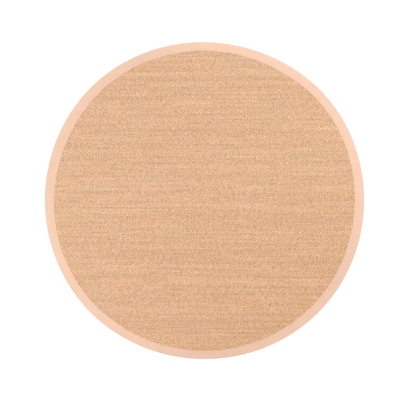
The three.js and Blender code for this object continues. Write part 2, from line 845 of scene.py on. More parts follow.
@dataclass(frozen=True)
class SisalUndersideFinish:
    """The cloth's underside: the same weave seen from below, in low relief, with painted shade where the
    yarns dip.

    Attributes:
        face: The yarns' finish on the face, whose colours and fibres these share.
        weave: The weave's repeat.
        slub: How far a yarn strays aside where it was spun thicker or thinner.
        slubs: Number of such places in a metre.
        fullness: How far round the yarn's section shows, from 0, flat, to 1, all of it.
        level: How light a yarn's crown is, from 0, deep, to 1, pale.
        painted_dip_shade: How much darker painted shade makes a yarn where it dips under its neighbours.
        yarn_swing: How far whole yarns' tones stray.
        float_swing: How far single floats' tones stray.
        contrast: How much the fibres and strands stand out.
        fibre_height: Height of the fibres, as a part of the weave's relief.
        look: How the cloth takes the light, with the height from its lowest gap to its highest crown.
    """

    face: SisalFinish = SisalFinish()
    weave: Weave = Weave()
    slub: float = 0.9 * MM
    slubs: float = 70
    fullness: float = 0.94
    level: float = 0.76
    painted_dip_shade: float = 0.8
    yarn_swing: float = 0.10
    float_swing: float = 0.14
    contrast: float = 1.1
    fibre_height: float = 0.22
    look: Surface = Surface(0.92, 0.2, 0.0, 2.4 * MM, 0.8)

    def build(self) -> bpy.types.Material:
        """Builds the underside's material.

        Returns:
            The material, which reads Object coordinates.
        """
        finish = Finish("sisal_underside")
        place = finish.node("TexCoord").outputs["Object"]
        parts = finish.node("SeparateXYZ")
        finish.link(place, parts.inputs["Vector"])
        column = finish.maths("DIVIDE", parts.outputs["X"], self.weave.warp_pitch)
        row = finish.maths("DIVIDE", parts.outputs["Y"], self.weave.row_pitch)
        slub = finish.noise(place, self.slubs, detail=2.0, roughness=0.5)
        slub = finish.maths("SUBTRACT", slub, 0.5)
        row = finish.maths("MULTIPLY_ADD", slub, 2 * self.slub / self.weave.row_pitch, row)
        swing = finish.maths("MULTIPLY", self.wave(finish, column), self.wave(finish, row))
        row = finish.maths("MULTIPLY_ADD", swing, self.weave.wander / self.weave.row_pitch, row)
        yarn = finish.maths("FLOOR", row)
        phase = finish.maths("ADD", column, yarn)
        crown = finish.between(self.wave(finish, phase), (-1, 1), (0, 1))
        across = finish.maths("SUBTRACT", row, yarn)
        across = finish.between(across, (0, 1), (-self.fullness, self.fullness))
        square = finish.maths("MULTIPLY", across, across)
        rounded = finish.maths("SQRT", finish.maths("SUBTRACT", 1.0, square))
        woven = finish.maths("MULTIPLY", rounded, finish.maths("MULTIPLY_ADD", crown, 0.5, 0.5))

        cell = finish.node("CombineXYZ")
        finish.link(finish.maths("ROUND", finish.maths("MULTIPLY", phase, 0.5)), cell.inputs["X"])
        finish.link(yarn, cell.inputs["Y"])
        floats = finish.node("TexWhiteNoise", noise_dimensions="2D")
        finish.link(cell.outputs["Vector"], floats.inputs["Vector"])
        yarns = finish.node("TexWhiteNoise", noise_dimensions="1D")
        finish.link(yarn, yarns.inputs["W"])

        fibres = self.face.fibre_relief(finish, place, -self.face.twist)
        fibres = finish.maths("SUBTRACT", fibres, 0.5)
        # Painted shade: the weave is darker where it lies lower.
        sunk = finish.maths("SUBTRACT", woven, 1.0)
        value = finish.maths("MULTIPLY_ADD", sunk, self.painted_dip_shade, self.level)
        for tone, swing in ((yarns, self.yarn_swing), (floats, self.float_swing)):
            strayed = finish.maths("SUBTRACT", tone.outputs["Value"], 0.5)
            value = finish.maths("MULTIPLY_ADD", strayed, swing, value)
        value = finish.maths("MULTIPLY_ADD", fibres, self.contrast, value)
        finish.link(finish.ramp(value, self.face.stops), finish.shader.inputs["Base Color"])
        finish.surface(finish.maths("MULTIPLY_ADD", fibres, self.fibre_height, woven), self.look)
        return finish.material

    @staticmethod
    def wave(finish: Finish, term: bpy.types.NodeSocket) -> bpy.types.NodeSocket:
        """Makes a wave from 1 at every even number to -1 at every odd one."""
        return finish.maths("COSINE", finish.maths("MULTIPLY", term, math.pi))


@dataclass(frozen=True)
class CottonFinish:
    """Pale peach cotton tape: a fine plain weave, matte, with soft uneven dye, painted shade between its
    threads, and painted light and shade around the rim.

    Attributes:
        dye: Linear colour of the tape.
        deep: Linear colour of the painted shade between its threads.
        dyed_at: Height from which a thread has its full colour, below which painted shade darkens it, from
            0, lowest, to 1, highest.
        threads_along: Threads around the rim, a whole number so that the weave closes.
        thread_pitch: Distance from thread to thread across the tape.
        slubs: Number of slubs in a metre of thread.
        slub_height: How far they stand out, as a part of a thread.
        blotches: Number of lighter and darker places in a metre.
        blotch_swing: How much lighter and darker these are, as a factor.
        look: How the tape takes the light.
    """

    dye: tuple = (0.7265, 0.4935, 0.365)
    deep: tuple = (0.660, 0.434, 0.315)
    dyed_at: float = 0.55
    threads_along: int = 7000
    thread_pitch: float = 0.72 * MM
    slubs: float = 900
    slub_height: float = 0.5
    blotches: float = 22
    blotch_swing: float = 0.025
    look: Surface = Surface(0.88, 0.25, 0.12, 0.12 * MM, 0.45)

    def build(self) -> bpy.types.Material:
        """Builds the tape's material.

        Returns:
            The material, which reads the tape's own UV map, in threads.
        """
        finish = Finish("cotton_tape")
        parts = finish.node("SeparateXYZ")
        finish.link(finish.node("UVMap", uv_map="threads").outputs["UV"], parts.inputs["Vector"])
        warp = finish.maths("SINE", finish.maths("MULTIPLY", parts.outputs["X"], math.pi))
        weft = finish.maths("SINE", finish.maths("MULTIPLY", parts.outputs["Y"], math.pi))
        threads = finish.between(finish.maths("MULTIPLY", warp, weft), (-1, 1), (0, 1))
        place = finish.node("TexCoord").outputs["Object"]
        slub = finish.noise(place, self.slubs, detail=3.0, roughness=0.6)
        blotch = finish.noise(place, self.blotches, detail=3.0, roughness=0.55)
        height = finish.maths("MULTIPLY_ADD", slub, self.slub_height, threads)
        # Painted shade: the threads are darker where they lie lower.
        stops = [(0.0, self.deep), (self.dyed_at, self.dye), (1.0, self.dye)]
        colour = finish.ramp(finish.between(height, (0.2, 1.3), (0, 1)), stops)
        lightest, darkest = 1 + self.blotch_swing, 1 - self.blotch_swing
        uneven = finish.between(blotch, (0.3, 0.7), (darkest, lightest))
        # This attribute carries the tape's painted light and shade around the rim, and its paling towards
        # the rim.
        uneven = finish.maths("MULTIPLY", uneven, finish.attribute("painted_light_and_paling"))
        redder = finish.node("CombineColor", Green=1.0, Blue=1.0)
        finish.link(finish.attribute("blush"), redder.inputs["Red"])
        colour = finish.tinted(finish.scaled(colour, uneven), redder.outputs["Color"])
        finish.link(colour, finish.shader.inputs["Base Color"])
        finish.surface(height, self.look)
        return finish.material


@dataclass(frozen=True)
class ThreadFinish:
    """Sewing thread of the tape's colour, twisted from two plies.

    Attributes:
        dye: Linear colour of the thread.
        deep: Linear colour of the painted shade between its plies.
        plies: Number of plies in a metre along X, Y and Z.
        slant: Slant of the plies, in radians.
        look: How the thread takes the light.
    """

    dye: tuple = (0.84, 0.57, 0.425)
    deep: tuple = (0.66, 0.42, 0.30)
    plies: tuple = (900, 3500, 900)
    slant: float = math.radians(35)
    look: Surface = Surface(0.7, 0.3, 0.0, 0.1 * MM, 0.5)

    def build(self) -> bpy.types.Material:
        """Builds the thread's material.

        Returns:
            The material, which reads Object coordinates.
        """
        finish = Finish("sewing_thread")
        place = finish.placed(finish.node("TexCoord").outputs["Object"], self.plies, self.slant)
        plies = finish.noise(place, scale=1.0, detail=1.0, roughness=0.5)
        # Painted shade: the thread is darker between its plies.
        colour = finish.ramp(plies, [(0.3, self.deep), (0.6, self.dye)])
        finish.link(colour, finish.shader.inputs["Base Color"])
        finish.surface(plies, self.look)
        return finish.material


@dataclass(frozen=True)
class Tones:
    """How light or dark each float of each weft yarn is, as seeded streaks along the yarns.

    Attributes:
        rows: Number of weft yarns.
        floats: Number of floats along a yarn.
        yarn: Strength of the tone that a yarn keeps along its whole length.
        streaks: Lengths of the streaks along a yarn, in floats, each with its strength.
        grain: Strength of the tone of single floats.
        fleck: How much further the darkest streaks stray than the lightest, 0 if they are alike.
        follow: How much a yarn's tone follows the yarn before it, from 0 to 1.
        crisp: How far each yarn's tone is set apart from its two neighbours'.
        yarn_seed: Seed of the whole yarns' tones: the one of 39,999 tried by a search whose bands
            lay most like the photograph's rows.
        streak_seed: Seed of the streaks and the grain: the one of 27,733 tried whose patches lay
            most like the photograph's.
    """

    rows: int
    floats: int
    yarn: float = 0.17
    streaks: tuple = ((25, 0.145), (8, 0.1), (3, 0.19))
    grain: float = 0.5
    fleck: float = 0.4
    follow: float = 0.2
    crisp: float = 0.6
    yarn_seed: int = 22708
    streak_seed: int = 11956

    def values(self) -> np.ndarray:
        """Works the tones out.

        Returns:
            A table with a row for each yarn and a column for each float, about 0.
        """
        whole = np.random.default_rng(self.yarn_seed).standard_normal(self.rows)
        for row in range(1, self.rows):
            whole[row] = self.follow * whole[row - 1] + math.sqrt(1 - self.follow**2) * whole[row]
        tones = np.repeat(self.yarn * whole[:, None], self.floats, axis=1)
        random = np.random.default_rng(self.streak_seed)
        for length, strength in self.streaks:
            stray = self.smoothed(random.standard_normal(tones.shape), length)
            tones += strength * (stray - self.fleck * (stray**2 - 1))
        tones += self.grain * random.standard_normal(tones.shape)
        beside = (np.roll(tones, 1, axis=0) + np.roll(tones, -1, axis=0)) / 2
        return tones + self.crisp * (tones - beside)

    @staticmethod
    def smoothed(table: np.ndarray, length: float) -> np.ndarray:
        """Smooths each row of a table of white noise, and keeps its strength.

        Args:
            table: The noise.
            length: How far the smoothing reaches, in columns.

        Returns:
            The smoothed table.
        """
        spreads = 3
        reach = int(spreads * length)
        window = np.exp(-0.5 * (np.arange(-reach, reach + 1) / length) ** 2)
        window /= math.sqrt((window**2).sum())
        padded = np.pad(table, ((0, 0), (reach, reach)), mode="reflect")
        return np.array([np.convolve(row, window, mode="valid") for row in padded])


@dataclass(frozen=True)
class Irregularity:
    """How far the yarns usually stray from an even weave.

    Attributes:
        lift: How far a float's crown strays up or down.
        width: How far its width strays, as a factor.
        thickness: How far a yarn's thickness strays, as a factor.
        thickness_run: Over how many floats that lasts.
        contrast_patch: How far the depth of the painted shade strays in patches, as a factor.
        patch_floats: Length of these patches, in floats.
        patch_rows: Their width, in yarns.
        contrast_speck: How far it strays from float to float.
        contrast_most: The most that it comes to.
        sway: How far a yarn strays aside.
        sway_run: Over how many floats that lasts.
        along: How far a vertex strays along its yarn.
        crevice: How far one in a crevice strays aside and down.
        drag: How far whole stretches of rows lie aside.
        drags: The waves of that, each in radians to a metre along X and along Y, and its phase.
    """

    lift: float = 0.18 * MM
    width: float = 0.08
    thickness: float = 0.07
    thickness_run: float = 3
    contrast_patch: float = 0.65
    patch_floats: float = 12
    patch_rows: float = 0.7
    contrast_speck: float = 0.65
    contrast_most: float = 2.4
    sway: float = 0.30 * MM
    sway_run: float = 1.5
    along: float = 0.18 * MM
    crevice: float = 0.12 * MM
    drag: float = 0.35 * MM
    drags: tuple = ((17, 9, 0), (6.1, -13, 1.7))


@dataclass
class SisalCloth:
    """The sisal: weft yarns beaten close over hidden warps, on a flat ground that the tape grips.

    Attributes:
        outline: The rug's outline.
        weave: The weave's repeat.
        stray: How far the yarns stray from it.
        rows: Number of weft yarns over the whole cloth.
        yarn_half_width: Half the width of a yarn.
        yarn_half_height: Half its height.
        shoulder: How far out a yarn's two side lines lie, from 0, its crown, to 1, its edge.
        crimp: How far a yarn rises and falls over the warps.
        plump: How full a float is between its crown and its ends, from 0, pointed, to 1, flat.
        middle: Height of the yarns' middle line over the floor.
        lean: How far a float leans along its twist.
        crevice_top: Height of the crevice over the yarns' middle line, beside a float's ends.
        crevice_fall: How much lower it is beside a float's crown.
        crevice_painted_shade: Depth of the painted shade on the yarns' edges, to which their own real
            shadow adds.
        deepest: The greatest depth of painted shade.
        skew: How much more painted shade a leaning float has on its low side, towards either end.
        girth: Half width of the round that the fibres' map is laid over, as a part of the yarn's.
        wrap: How much that map is stretched round the yarn.
        bands: Number of pieces that the cloth's face is made in.
        end_rows: Number of yarns in the first and the last of them, where the cloth is narrow.
        tuck: How far the weave runs on under the tape.
        press_slope: Width over which the cloth is pressed down beside the tape.
        press: How much of its relief is pressed flat under the tape.
        gripped: How far the press has come where the tape starts to hold the cloth, from 0 to 1.
        ground_top: Height of the ground that the yarns lie on.
        sink: How far the yarns' flat bottoms lie inside the ground.
        grip_low: Height of the pressed cloth's underside, under the tape.
        grip_high: Height of its top.
        grip_top: Greatest height of the yarns under the tape.
        edge_roll: How far in from the cloth's cut edge it starts to round.
        overlap: How far the ground's upper step lies to either side of the weave's end.
        ground_steps: Number of steps around the ground.
        fit_gap: Gap between the cloth and the tape.
        tape_thickness: Thickness of the tape round the cloth's edge.
        painted_light_drift: Painted light and shade: how the yarns' tones drift over the whole cloth. The
            numbers of all three drifts were worked out from surfaces fitted by least squares to the
            photograph.
        painted_light_red_drift: How their red drifts with the painted light and shade, as a factor.
        painted_light_blue_drift: How their blue drifts with it.
        seed: Seed of the small irregularities.
    """

    outline: Outline
    weave: Weave = Weave()
    stray: Irregularity = Irregularity()
    rows: int = 272
    yarn_half_width: float = 3.6 * MM
    yarn_half_height: float = 2.0 * MM
    shoulder: float = 0.56
    crimp: float = 1.1 * MM
    plump: float = 0.45
    middle: float = 3.3 * MM
    lean: float = 0.42 * MM
    crevice_top: float = 0.95 * MM
    crevice_fall: float = 0.75 * MM
    crevice_painted_shade: float = 0.4
    deepest: float = 1.3
    skew: float = 0.14
    girth: float = 1.05
    wrap: float = 1.2
    bands: int = 8
    end_rows: int = 44
    tuck: float = 9 * MM
    press_slope: float = 5 * MM
    press: float = 0.28
    gripped: float = 0.95
    ground_top: float = 2.6 * MM
    sink: float = 0.2 * MM
    grip_low: float = 1.5 * MM
    grip_high: float = 5.45 * MM
    grip_top: float = 5.7 * MM
    edge_roll: float = 1.7 * MM
    overlap: float = 2 * MM
    ground_steps: int = 180
    fit_gap: float = 0.3 * MM
    tape_thickness: float = 1.2 * MM
    painted_light_drift: PaintedLightDrift = PaintedLightDrift(-0.13, 0.24, 0.63, 0.39)
    painted_light_red_drift: PaintedLightDrift = PaintedLightDrift(0.009, -0.013, 0.0, -0.002)
    painted_light_blue_drift: PaintedLightDrift = PaintedLightDrift(-0.019, 0.008, 0.008, 0.0)
    seed: int = 23

    LINES = 4  # lines of vertices to a yarn: its crevice, its near side, its crown and its far side
    STATIONS = 4  # stations of vertices to a full wave of a yarn, over one warp and under the next
    SPARE = 2  # yarns, stations or floats past the cloth's edge in the tables
    STRIPS = 3  # strips that a band's layout is cut into

    def build(self) -> list[bpy.types.Object]:
        """Builds the ground and the woven bands of the face.

        Returns:
            The ground, and then the bands from -Y to +Y.
        """
        self.make_irregular()
        return [self.ground(), *(self.band(number) for number in range(self.bands))]

    def make_irregular(self) -> None:
        """Draws every yarn's and every float's small differences, once for all the bands."""
        stray, smoothed = self.stray, Tones.smoothed
        self.half_stations = math.ceil(self.reach / self.station_pitch) + self.SPARE
        self.middle_float = self.half_stations // 2 + self.SPARE
        shape = (self.rows + self.SPARE, 2 * (self.middle_float + self.SPARE))
        self.tones = Tones(*shape).values()
        random = np.random.default_rng(self.seed)
        self.lifts = random.normal(0, stray.lift, shape)
        self.widths = random.normal(1, stray.width, shape)
        thickness = smoothed(random.standard_normal(shape), stray.thickness_run)
        self.thickness = 1 + stray.thickness * thickness
        patches = smoothed(random.standard_normal(shape), stray.patch_floats)
        uneven = stray.contrast_patch * smoothed(patches.T, stray.patch_rows).T
        uneven += random.normal(0, stray.contrast_speck, shape)
        self.contrast = np.clip(1 + uneven, 0, stray.contrast_most)
        self.sway = stray.sway * smoothed(random.standard_normal(shape), stray.sway_run)
        lines = (self.rows + self.SPARE) * self.LINES
        self.scatter = random.normal(0, 1, (lines, 2 * self.half_stations + 1, 3))

    @property
    def reach(self) -> float:
        """How far the weave reaches from the rug's middle."""
        return float(self.outline.seam.max()) + self.tuck

    @property
    def station_pitch(self) -> float:
        """Distance from station to station along the yarns."""
        return self.weave.warp_pitch * 2 / self.STATIONS

    def centre_of(self, yarn: np.ndarray) -> np.ndarray:
        """Returns the Y of some yarns' middle lines."""
        return (yarn + 0.5 - self.rows / 2) * self.weave.row_pitch

    def wave_at(self, yarn: np.ndarray, station: np.ndarray) -> tuple[np.ndarray, tuple]:
        """Works out how far a yarn has come in its wave, and which of its floats that is.

        Args:
            yarn: Yarn numbers, from 0 at -Y.
            station: Station numbers along the yarns.

        Returns:
            The phase, even on a float's crown and odd where the yarn dips under, and the float's
            row and column in the tables of what each float has of its own.
        """
        phase = station * 2 / self.STATIONS + yarn
        column = np.floor((phase + 1) / 2).astype(int) + self.middle_float - yarn // 2
        return phase, (yarn, np.clip(column, 0, self.tones.shape[1] - 1))

    def press_at(self, points: np.ndarray) -> np.ndarray:
        """Works out how far down the cloth is pressed at some places.

        Args:
            points: One row of X, Y and Z for each place.

        Returns:
            0 in the open field, rising to 1 under the tape.
        """
        radius, angle = polar(points)
        inside = self.outline.seam_at(angle) - self.fit_gap - radius
        ramp = np.clip(1 - inside / self.press_slope, 0, 1)
        return ramp * ramp * (3 - 2 * ramp)

    def woven(self, line: np.ndarray, station: np.ndarray) -> np.ndarray:
        """Places the weave's vertices.

        Args:
            line: Line number across the yarns, 0 at the edge of the first yarn, LINES to a yarn.
            station: Station number along the yarns, 0 at the middle, STATIONS to a full wave.

        Returns:
            One row of X, Y and Z for each vertex.
        """
        yarn, part = np.divmod(line, self.LINES)
        phase, cell = self.wave_at(yarn, station)
        along, aside, down = self.scatter[line, station + self.half_stations].T
        over = np.cos(math.pi * phase)
        centre = self.centre_of(yarn)
        edge = self.weave.row_pitch / 2 + self.weave.wander * over
        half_height = self.yarn_half_height * self.thickness[cell]
        shoulder = self.shoulder * edge * self.widths[cell]
        across = np.select([part == 1, part == 3], [-shoulder, shoulder], 0.0)
        rounded = np.sqrt(np.clip(1 - (across / self.yarn_half_width) ** 2, 0, 1))
        rise = over + self.plump * (1 - over**2)
        lifted = np.clip(over, 0, 1) * self.lifts[cell]
        height = self.crimp * rise + half_height * rounded + lifted
        y = centre + across + self.lean * np.sin(math.pi * phase) + self.sway[cell]
        crevice_y = centre - edge + self.sway[cell] / 2 + self.stray.crevice * aside
        crevice = self.crevice_top - self.crevice_fall * over**2 - self.stray.crevice * np.abs(down)
        y = np.where(part == 0, crevice_y, y)
        height = np.where(part == 0, crevice, height)
        x = station * self.station_pitch + self.stray.along * along
        drag = sum(np.sin(x * by_x + y * by_y + start) for by_x, by_y, start in self.stray.drags)
        return np.column_stack([x, y + self.stray.drag * drag, self.middle + height])

    def settle(self, points: np.ndarray) -> np.ndarray:
        """Presses the weave down towards the tape.

        Args:
            points: The weave's vertices, as on open cloth.

        Returns:
            The same vertices, flatter beside the tape and below its upper leaf.
        """
        pressed = self.press_at(points)
        settled = points.copy()
        settled[:, 2] = self.middle + (points[:, 2] - self.middle) * (1 - self.press * pressed)
        held_down = np.minimum(settled[:, 2], self.grip_top)
        settled[:, 2] = np.where(pressed > self.gripped, held_down, settled[:, 2])
        return settled

    def painted_shade_at(self, line: np.ndarray, station: np.ndarray, heights: np.ndarray) -> np.ndarray:
        """Works out how deep each vertex of the weave lies between its neighbours, for the painted shade
        in its colour.

        Args:
            line: Line number of each vertex across the yarns.
            station: Station number along the yarns.
            heights: Height of each on open cloth.

        Returns:
            About 0 on a float's crown and 1 where a yarn dips under, with more contrast in some floats.
        """
        yarn, part = np.divmod(line, self.LINES)
        phase, cell = self.wave_at(yarn, station)
        depth = (self.middle + self.crimp + self.yarn_half_height - heights) / (2 * self.crimp)
        side = np.select([part == 1, part == 3], [-1, 1], 0)
        depth = depth - self.skew * side * np.sin(math.pi * phase)
        depth = np.where(part == 0, self.crevice_painted_shade, depth)
        halfway = 0.5
        return halfway + (np.clip(depth, 0, self.deepest) - halfway) * self.contrast[cell]

    def band(self, number: int) -> bpy.types.Object:
        """Builds one band of the woven face: a closed piece, from crevice to crevice.

        Args:
            number: Which band, 0 at -Y.

        Returns:
            The band.
        """
        inner = np.linspace(self.end_rows, self.rows - self.end_rows, self.bands - 1)
        first, last = [0, *inner.round().astype(int).tolist(), self.rows][number : number + 2]
        nearest = max(0.0, (max(first, self.rows - last) - self.rows / 2) * self.weave.row_pitch)
        half_chord = math.sqrt(self.reach**2 - nearest**2)
        half = min(self.half_stations, math.ceil(half_chord / self.station_pitch) + 1)
        lines = (last - first) * self.LINES
        bpy.ops.object.select_all(action="DESELECT")
        bpy.ops.mesh.primitive_grid_add(
            x_subdivisions=2 * half, y_subdivisions=lines, size=2, calc_uvs=False
        )
        piece = bpy.context.object
        piece.name = piece.data.name = f"sisal_weft_band_{number + 1}"
        mesh = piece.data
        grid = read_points(mesh)
        station = np.round(grid[:, 0] * half).astype(int)
        line = np.round((grid[:, 1] + 1) / 2 * lines).astype(int) + first * self.LINES
        write_attribute(mesh, "line", "INT", "POINT", line)
        write_attribute(mesh, "station", "INT", "POINT", station)
        points = self.woven(line, station)
        # The depth attribute is the mask of the painted shade: most where a yarn dips under, little on its
        # crown.
        write_attribute(mesh, "depth", "FLOAT", "POINT", self.painted_shade_at(line, station, points[:, 2]))
        points = self.settle(points)
        write_points(mesh, points)
        self.cut_round(piece, points)
        self.dress(mesh)
        self.close(piece)
        self.lay_out_band(mesh)
        return piece

    def cut_round(self, piece: bpy.types.Object, points: np.ndarray) -> None:
        """Cuts a band off where it has run far enough under the tape.

        Args:
            piece: The band.
            points: Its vertices.
        """
        radius, angle = polar(points)
        outside = radius > self.outline.seam_at(angle) + self.tuck
        with editing(piece, "DESELECT"):
            bpy.ops.object.mode_set(mode="OBJECT")
            piece.data.vertices.foreach_set("select", outside)
            bpy.ops.object.mode_set(mode="EDIT")
            bpy.ops.mesh.delete(type="VERT")
            bpy.ops.mesh.select_all(action="SELECT")
            bpy.ops.mesh.delete_loose(use_verts=True, use_edges=True, use_faces=False)

    def dress(self, mesh: bpy.types.Mesh) -> None:
        """Gives a band its tones with the drifts' painted light and shade, its sharp crevices and the map
        that its fibres follow.

        Args:
            mesh: The band's mesh.
        """
        line = read_attribute(mesh, "line").astype(int)
        station = read_attribute(mesh, "station").astype(int)
        quads = loop_corners(mesh).reshape(-1, 4)
        yarn = line[quads].min(axis=1) // self.LINES
        _, cell = self.wave_at(yarn, station[quads].mean(axis=1))
        points = read_points(mesh)
        x, y, _ = points[quads].mean(axis=1).T
        # The tones and the red and blue drifts carry painted light and shade over the whole cloth.
        write_attribute(mesh, "yarn_tone_and_painted_light", "FLOAT", "FACE", self.tones[cell] + self.painted_light_drift.at(x, y))
        write_attribute(mesh, "ruddy", "FLOAT", "FACE", 1 + self.painted_light_red_drift.at(x, y))
        write_attribute(mesh, "golden", "FLOAT", "FACE", 1 + self.painted_light_blue_drift.at(x, y))
        ends = np.empty(len(mesh.edges) * 2, int)
        mesh.edges.foreach_get("vertices", ends)
        ends = line[ends.reshape(-1, 2)]
        sharp = (ends[:, 0] == ends[:, 1]) & (ends[:, 0] % self.LINES == 0)
        write_attribute(mesh, "sharp_edge", "BOOLEAN", "EDGE", sharp)
        centre = self.centre_of(yarn)[:, None]
        across = (points[quads, 1] - centre) / (self.girth * self.yarn_half_width)
        around = np.arcsin(np.clip(across, -1, 1)) * self.yarn_half_width
        places = np.stack([points[quads, 0], centre + around * self.wrap], axis=2)
        write_uv(mesh, "yarn", places.reshape(-1, 2))
        mesh.polygons.foreach_set("use_smooth", np.ones(len(mesh.polygons), bool))

    def close(self, piece: bpy.types.Object) -> None:
        """Closes a band with a short wall down to the ground and a flat bottom.

        Args:
            piece: The band, still open below.
        """
        bottom = self.ground_top - self.sink
        with editing(piece, "DESELECT"):
            bpy.ops.mesh.select_mode(type="EDGE")
            bpy.ops.mesh.select_non_manifold(
                extend=False, use_wire=False, use_boundary=True,
                use_multi_face=False, use_non_contiguous=False, use_verts=False,
            )
            bpy.ops.mesh.extrude_region_move(TRANSFORM_OT_translate={"value": (0, 0, -MM)})
            bpy.ops.transform.resize(value=(1, 1, 0), center_override=(0, 0, bottom))
            bpy.ops.mesh.edge_face_add()
            bpy.ops.mesh.select_mode(type="VERT")

    def lay_out_band(self, mesh: bpy.types.Mesh) -> None:
        """Lays a band out for the exporter: its weave large, in strips, and its hidden sides small.

        Args:
            mesh: The closed band's mesh.
        """
        layout = BakeMap(mesh)
        x, y, z = layout.point.T
        low = layout.mean(z < self.ground_top)
        weave_height, side_height = 0.96, 0.02
        layout.lay_strips(low == 0, x, y, self.STRIPS, weave_height)
        layout.lay(low == 1, x, y, (0, weave_height, 1, side_height))
        wall = (low > 0) & (low < 1)
        first = np.flatnonzero(np.diff(layout.face, prepend=-1))[layout.face]
        side = np.hypot(x - x[first], y - y[first]) > TOUCHING
        place = np.unique(layout.face[wall], return_inverse=True)[1]
        across = np.zeros(len(x))
        across[wall] = place + side[wall]
        layout.lay(wall, across, z, (0, weave_height + side_height, 1, side_height))
        layout.write()

    def ground(self) -> bpy.types.Object:
        """Builds the cloth's ground: its flat underside, and its pressed edge inside the fold.

        Returns:
            The ground, a closed disc.
        """
        grip = -self.fit_gap
        edge = self.tape_thickness + self.fit_gap
        halfway, roll_steps = 0.4, 6
        section = [
            SectionPoint(0, 0, 0, 0),
            SectionPoint(halfway, 0, 0, 0),
            SectionPoint(1, 0, grip - self.press_slope, 0),
            SectionPoint(1, 0, grip, self.grip_low),
            *rolled_edge(edge, self.edge_roll, self.grip_low, self.grip_high, roll_steps),
            SectionPoint(1, 0, self.tuck + self.overlap, self.grip_high),
            SectionPoint(1, 0, self.tuck - self.overlap, self.ground_top),
            SectionPoint(halfway, 0, 0, self.ground_top),
            SectionPoint(0, 0, 0, self.ground_top),
        ]
        piece = spun("sisal_ground", section, self.ground_steps, self.outline, closed=False)
        layout = BakeMap(piece.data)
        station = layout.mean(read_attribute(piece.data, "station")[layout.vertex])
        x, y, _ = layout.point.T
        grip_station = 3
        roll_middle, corner = grip_station + 1 + roll_steps // 2, 0.14
        pressed = (station > grip_station) & (station < roll_middle)
        layout.lay(station < grip_station, x, y, (0, 0, 1, 1))
        layout.lay(pressed, x, y, (1 - corner, 0, corner, corner))
        layout.lay(station > roll_middle, x, y, (0, 0, corner, corner))
        layout.write()
        return piece


